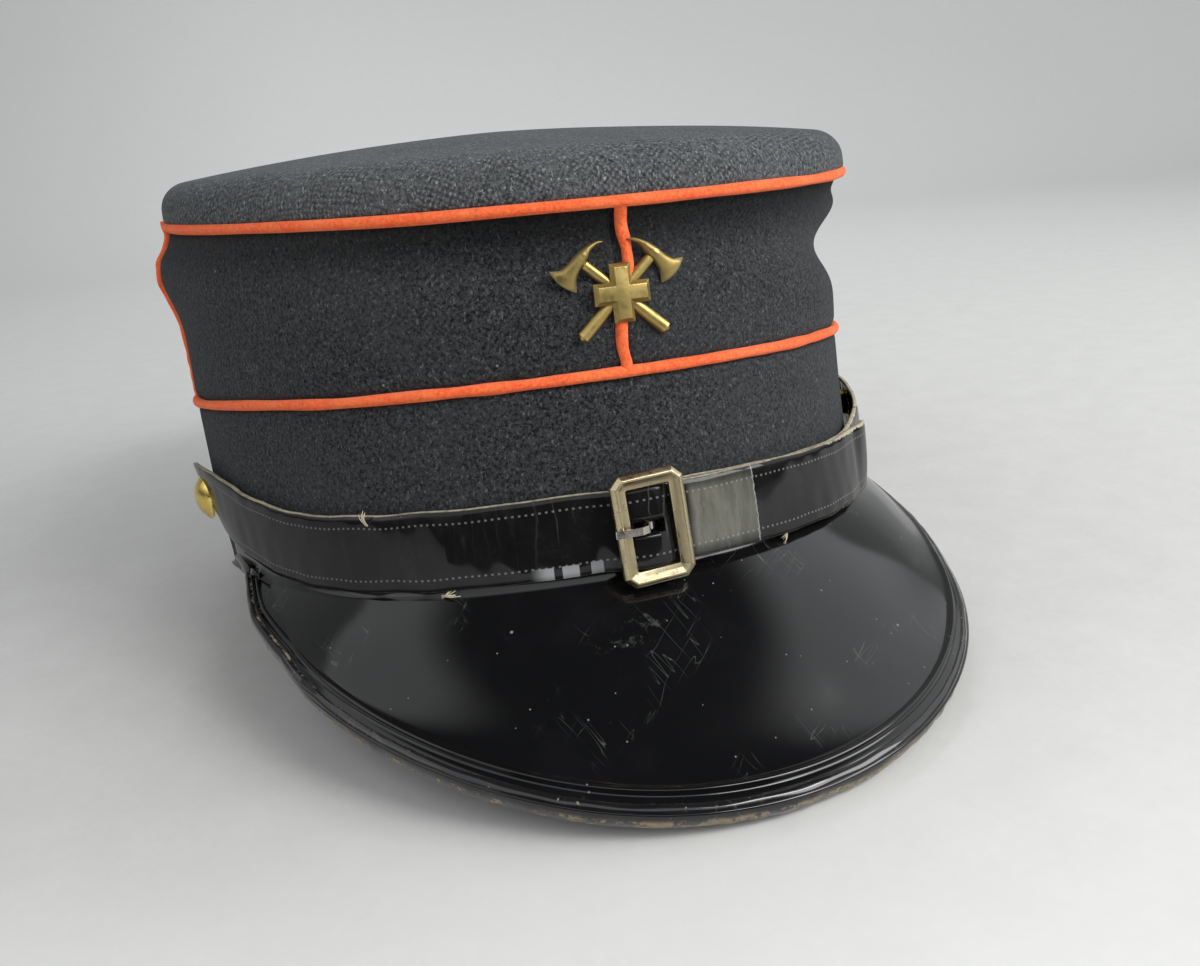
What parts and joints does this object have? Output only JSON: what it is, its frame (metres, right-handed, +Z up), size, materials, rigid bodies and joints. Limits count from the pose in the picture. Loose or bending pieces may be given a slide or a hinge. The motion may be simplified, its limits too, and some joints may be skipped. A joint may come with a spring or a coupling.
{
  "type": "peaked cap",
  "caption": "Stiff-sided kepi of dark wool with red piping, patent-leather peak, buckled chin strap, brass side buttons and crossed-axes badge.",
  "frame": {"origin": "on the table under the middle of the cap's bounding box, with the cap resting on the rim of its peak and the back of its band", "axes": "+Z up, -Y the way the peak points, +X the wearer's left"},
  "size_m": [0.183, 0.267, 0.1199],
  "materials": {
    "wool_cloth": "dark blue-black felted wool cloth",
    "red_piping": "orange-red felt cord",
    "stiff_board": "stiff pressed board",
    "black_lining": "glazed cotton lining",
    "brown_leather": "sweatband leather",
    "patent_leather": "glossy black patent leather",
    "underside_leather": "dull black leather",
    "strap_leather": "glossy black patent leather, creased",
    "thread": "cream linen thread",
    "badge_brass": "aged dull brass",
    "buckle_brass": "worn brass",
    "button_brass": "bright brass"
  },
  "bodies": {
    "cap": {"badge_axe_left": "badge_brass", "badge_axe_right": "badge_brass", "badge_cross": "badge_brass", "badge_nuts": "badge_brass", "badge_posts": "badge_brass", "band_cloth": "wool_cloth", "chin_strap_long": "strap_leather", "chin_strap_short": "strap_leather", "crown_top_board": "stiff_board", "crown_top_cloth": "wool_cloth", "crown_top_lining": "black_lining", "lower_piping": "red_piping", "peak_binding": "patent_leather", "peak_core": "stiff_board", "peak_leather": "patent_leather", "peak_underside": "underside_leather", "seam_piping_front": "red_piping", "seam_piping_left": "red_piping", "seam_piping_rear": "red_piping", "seam_piping_right": "red_piping", "side_board": "stiff_board", "side_lining": "black_lining", "side_panel_front_left": "wool_cloth", "side_panel_front_right": "wool_cloth", "side_panel_rear_left": "wool_cloth", "side_panel_rear_right": "wool_cloth", "strap_tack_threads": "thread", "sweatband": "brown_leather", "top_piping": "red_piping"},
    "buckle": {"buckle_frame": "buckle_brass", "buckle_bar": "buckle_brass"},
    "prong": {"buckle_prong": "buckle_brass"},
    "button_left": {"button_left_back": "button_brass", "button_left_post": "button_brass", "button_left_shell": "button_brass", "button_left_split_pin": "button_brass", "button_left_washer": "button_brass"},
    "button_right": {"button_right_back": "button_brass", "button_right_post": "button_brass", "button_right_shell": "button_brass", "button_right_split_pin": "button_brass", "button_right_washer": "button_brass"}
  },
  "joints": [
    {"name": "buckle_tilt", "type": "hinge", "parent": "cap", "child": "buckle", "pos_m": [0, -0.08999, 0.04367], "axis": [0, 0.1449, 0.9894], "range_deg": [-4, 4]},
    {"name": "prong_lift", "type": "hinge", "parent": "buckle", "child": "prong", "pos_m": [0, -0.08999, 0.04367], "axis": [0, 0.1449, 0.9894], "range_deg": [0, 50]},
    {"name": "button_left_turn", "type": "hinge", "parent": "cap", "child": "button_left", "pos_m": [-0.08514, -0.00374, 0.03791], "axis": [-0.9848, -0.1718, 0.0252], "continuous": true},
    {"name": "button_right_turn", "type": "hinge", "parent": "cap", "child": "button_right", "pos_m": [0.08514, -0.00374, 0.03791], "axis": [0.9848, -0.1718, 0.0252], "continuous": true}
  ]
}
